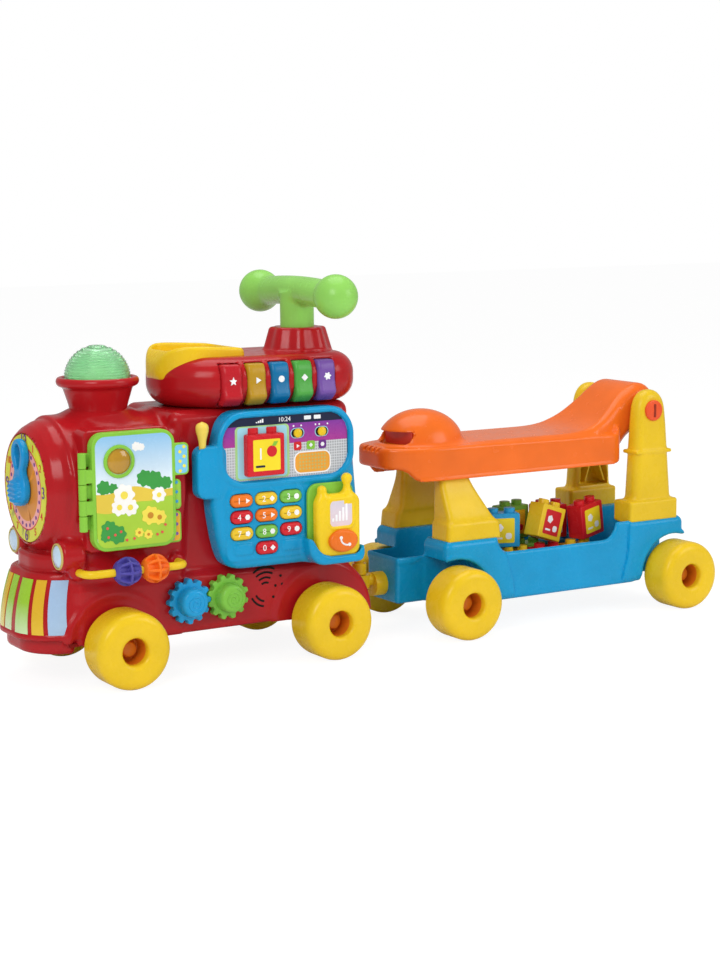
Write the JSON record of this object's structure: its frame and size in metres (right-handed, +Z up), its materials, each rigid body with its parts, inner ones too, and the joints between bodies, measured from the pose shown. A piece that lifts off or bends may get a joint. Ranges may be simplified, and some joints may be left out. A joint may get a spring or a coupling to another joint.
{
  "type": "ride on train",
  "caption": "Toy locomotive with clock, book, keypad, piano keys, beads and gears, hitched to a wagon with a hinged straddle seat over a block tub.",
  "frame": {"origin": "middle of the bounding box in plan, on the floor the wheels stand on", "axes": "+X from the locomotive's front to the wagon's rear, -Y the side with the play panel, +Z up"},
  "size_m": [0.941, 0.248, 0.449],
  "materials": {
    "red_shell": "gloss",
    "dark_red": "satin",
    "yellow": "gloss",
    "blue": "gloss",
    "orange": "gloss",
    "green": "gloss",
    "book_green": "satin",
    "dome_green": "translucent gloss",
    "clock": "satin",
    "purple": "gloss",
    "gear_blue": "gloss",
    "gear_green": "gloss",
    "block_red": "gloss",
    "blocks": "gloss",
    "key_red": "satin",
    "key_orange": "satin",
    "key_yellow": "satin",
    "key_green": "satin",
    "key_blue": "satin",
    "key_purple": "satin",
    "steel": "satin",
    "black": "matt",
    "board": "satin",
    "battery": "satin"
  },
  "bodies": {
    "loco": {"loco_shell_left": "red_shell", "loco_shell_right": "red_shell", "base_plate": "dark_red", "battery_door": "dark_red", "batteries": "battery", "speaker": "black", "circuit_board": "board", "roof_pod": "red_shell", "roof_chute": "yellow", "handle": "green", "chimney": "red_shell", "chimney_dome": "dome_green", "clock_face": "clock", "book_back": "book_green", "bead_rail": "yellow", "play_panel": "blue", "hitch_post": "yellow", "screws": "steel"},
    "clock_hand": {"clock_hand": "blue"},
    "book_page": {"book_page": "book_green"},
    "book_cover": {"book_cover": "book_green"},
    "bead_purple": {"bead_purple": "purple"},
    "bead_orange": {"bead_orange": "orange"},
    "gear_blue": {"gear_blue": "gear_blue"},
    "gear_green": {"gear_green": "gear_green"},
    "letter_block": {"letter_block": "block_red"},
    "power_switch": {"power_switch": "yellow"},
    "volume_switch": {"volume_switch": "yellow"},
    "key_0": {"key_0": "key_red"},
    "key_1": {"key_1": "key_orange"},
    "key_2": {"key_2": "key_yellow"},
    "key_3": {"key_3": "key_green"},
    "key_4": {"key_4": "key_red"},
    "key_5": {"key_5": "key_orange"},
    "key_6": {"key_6": "key_yellow"},
    "key_7": {"key_7": "key_yellow"},
    "key_8": {"key_8": "key_green"},
    "key_9": {"key_9": "key_red"},
    "piano_1": {"piano_1": "key_red"},
    "piano_2": {"piano_2": "key_yellow"},
    "piano_3": {"piano_3": "key_blue"},
    "piano_4": {"piano_4": "key_green"},
    "piano_5": {"piano_5": "key_purple"},
    "phone": {"phone": "yellow"},
    "phone_button": {"phone_button": "orange"},
    "pointer_stick": {"pointer_stick": "yellow"},
    "seat": {"seat": "orange"},
    "loco_front_wheelset": {"loco_front_axle": "steel", "loco_front_wheels": "yellow"},
    "loco_rear_wheelset": {"loco_rear_axle": "steel", "loco_rear_wheels": "yellow"},
    "wagon_front_wheelset": {"wagon_front_axle": "steel", "wagon_front_wheels": "yellow"},
    "wagon_rear_wheelset": {"wagon_rear_axle": "steel", "wagon_rear_wheels": "yellow"},
    "wagon": {"wagon_tub": "blue", "seat_posts": "yellow", "seat_pins": "orange", "hitch_bar": "yellow", "cargo_blocks": "blocks"}
  },
  "joints": [
    {"name": "clock_hand_spin", "type": "hinge", "parent": "loco", "child": "clock_hand", "pos_m": [-0.4345, 0, 0.218], "axis": [1, 0, 0], "continuous": true},
    {"name": "book_cover_hinge", "type": "hinge", "parent": "loco", "child": "book_cover", "pos_m": [-0.4065, -0.0898, 0.22], "axis": [0, 0, -1], "range_deg": [0, 160]},
    {"name": "book_page_hinge", "type": "hinge", "parent": "loco", "child": "book_page", "pos_m": [-0.4065, -0.0898, 0.22], "axis": [0, 0, -1], "range_deg": [0, 144]},
    {"name": "bead_purple_slide", "type": "slide", "parent": "loco", "child": "bead_purple", "axis": [1, 0, 0], "range_m": [-0.021, 0]},
    {"name": "bead_orange_slide", "type": "slide", "parent": "loco", "child": "bead_orange", "axis": [1, 0, 0], "range_m": [0, 0.0125]},
    {"name": "gear_blue_spin", "type": "hinge", "parent": "loco", "child": "gear_blue", "pos_m": [-0.2755, -0.078, 0.084], "axis": [0, 1, 0], "continuous": true},
    {"name": "gear_green_spin", "type": "hinge", "parent": "loco", "child": "gear_green", "pos_m": [-0.2271, -0.078, 0.084], "axis": [0, 1, 0], "continuous": true},
    {"name": "letter_block_pull", "type": "slide", "parent": "loco", "child": "letter_block", "axis": [0, -1, 0], "range_m": [0, 0.04]},
    {"name": "power_switch_slide", "type": "slide", "parent": "loco", "child": "power_switch", "axis": [1, 0, 0], "range_m": [-0.005, 0.005]},
    {"name": "volume_switch_slide", "type": "slide", "parent": "loco", "child": "volume_switch", "axis": [1, 0, 0], "range_m": [-0.005, 0.005]},
    {"name": "phone_lift", "type": "slide", "parent": "loco", "child": "phone", "axis": [0, 0, 1], "range_m": [0, 0.05]},
    {"name": "phone_button_press", "type": "slide", "parent": "phone", "child": "phone_button", "axis": [0, 1, 0], "range_m": [0, 0.0025], "stiffness_N_per_m": 400, "springref_m": -0.001},
    {"name": "pointer_pull", "type": "slide", "parent": "loco", "child": "pointer_stick", "axis": [0, -1, 0], "range_m": [0, 0.03]},
    {"name": "loco_front_spin", "type": "hinge", "parent": "loco", "child": "loco_front_wheelset", "pos_m": [-0.3625, 0, 0.044], "axis": [0, 1, 0], "continuous": true},
    {"name": "loco_rear_spin", "type": "hinge", "parent": "loco", "child": "loco_rear_wheelset", "pos_m": [-0.1005, 0, 0.044], "axis": [0, 1, 0], "continuous": true},
    {"name": "hitch_yaw", "type": "hinge", "parent": "loco", "child": "wagon", "pos_m": [-0.0035, 0, 0.065], "axis": [0, 0, 1], "range_deg": [-30, 30]},
    {"name": "wagon_front_spin", "type": "hinge", "parent": "wagon", "child": "wagon_front_wheelset", "pos_m": [0.0865, 0, 0.044], "axis": [0, 1, 0], "continuous": true},
    {"name": "wagon_rear_spin", "type": "hinge", "parent": "wagon", "child": "wagon_rear_wheelset", "pos_m": [0.4265, 0, 0.044], "axis": [0, 1, 0], "continuous": true},
    {"name": "seat_tilt", "type": "hinge", "parent": "wagon", "child": "seat", "pos_m": [0.3985, 0, 0.258], "axis": [0, 1, 0], "range_deg": [0, 80]},
    {"name": "key_0_press", "type": "slide", "parent": "loco", "child": "key_0", "axis": [0, 1, 0], "range_m": [0, 0.002], "stiffness_N_per_m": 400, "springref_m": -0.001},
    {"name": "key_1_press", "type": "slide", "parent": "loco", "child": "key_1", "axis": [0, 1, 0], "range_m": [0, 0.002], "stiffness_N_per_m": 400, "springref_m": -0.001},
    {"name": "key_2_press", "type": "slide", "parent": "loco", "child": "key_2", "axis": [0, 1, 0], "range_m": [0, 0.002], "stiffness_N_per_m": 400, "springref_m": -0.001},
    {"name": "key_3_press", "type": "slide", "parent": "loco", "child": "key_3", "axis": [0, 1, 0], "range_m": [0, 0.002], "stiffness_N_per_m": 400, "springref_m": -0.001},
    {"name": "key_4_press", "type": "slide", "parent": "loco", "child": "key_4", "axis": [0, 1, 0], "range_m": [0, 0.002], "stiffness_N_per_m": 400, "springref_m": -0.001},
    {"name": "key_5_press", "type": "slide", "parent": "loco", "child": "key_5", "axis": [0, 1, 0], "range_m": [0, 0.002], "stiffness_N_per_m": 400, "springref_m": -0.001},
    {"name": "key_6_press", "type": "slide", "parent": "loco", "child": "key_6", "axis": [0, 1, 0], "range_m": [0, 0.002], "stiffness_N_per_m": 400, "springref_m": -0.001},
    {"name": "key_7_press", "type": "slide", "parent": "loco", "child": "key_7", "axis": [0, 1, 0], "range_m": [0, 0.002], "stiffness_N_per_m": 400, "springref_m": -0.001},
    {"name": "key_8_press", "type": "slide", "parent": "loco", "child": "key_8", "axis": [0, 1, 0], "range_m": [0, 0.002], "stiffness_N_per_m": 400, "springref_m": -0.001},
    {"name": "key_9_press", "type": "slide", "parent": "loco", "child": "key_9", "axis": [0, 1, 0], "range_m": [0, 0.002], "stiffness_N_per_m": 400, "springref_m": -0.001},
    {"name": "piano_1_press", "type": "slide", "parent": "loco", "child": "piano_1", "axis": [0, 1, 0], "range_m": [0, 0.003], "stiffness_N_per_m": 500, "springref_m": -0.001},
    {"name": "piano_2_press", "type": "slide", "parent": "loco", "child": "piano_2", "axis": [0, 1, 0], "range_m": [0, 0.003], "stiffness_N_per_m": 500, "springref_m": -0.001},
    {"name": "piano_3_press", "type": "slide", "parent": "loco", "child": "piano_3", "axis": [0, 1, 0], "range_m": [0, 0.003], "stiffness_N_per_m": 500, "springref_m": -0.001},
    {"name": "piano_4_press", "type": "slide", "parent": "loco", "child": "piano_4", "axis": [0, 1, 0], "range_m": [0, 0.003], "stiffness_N_per_m": 500, "springref_m": -0.001},
    {"name": "piano_5_press", "type": "slide", "parent": "loco", "child": "piano_5", "axis": [0, 1, 0], "range_m": [0, 0.003], "stiffness_N_per_m": 500, "springref_m": -0.001}
  ],
  "couplings": [
    {"joint": "book_page_hinge", "follows": "book_cover_hinge", "ratio": 0.9},
    {"joint": "gear_green_spin", "follows": "gear_blue_spin", "ratio": -1}
  ]
}
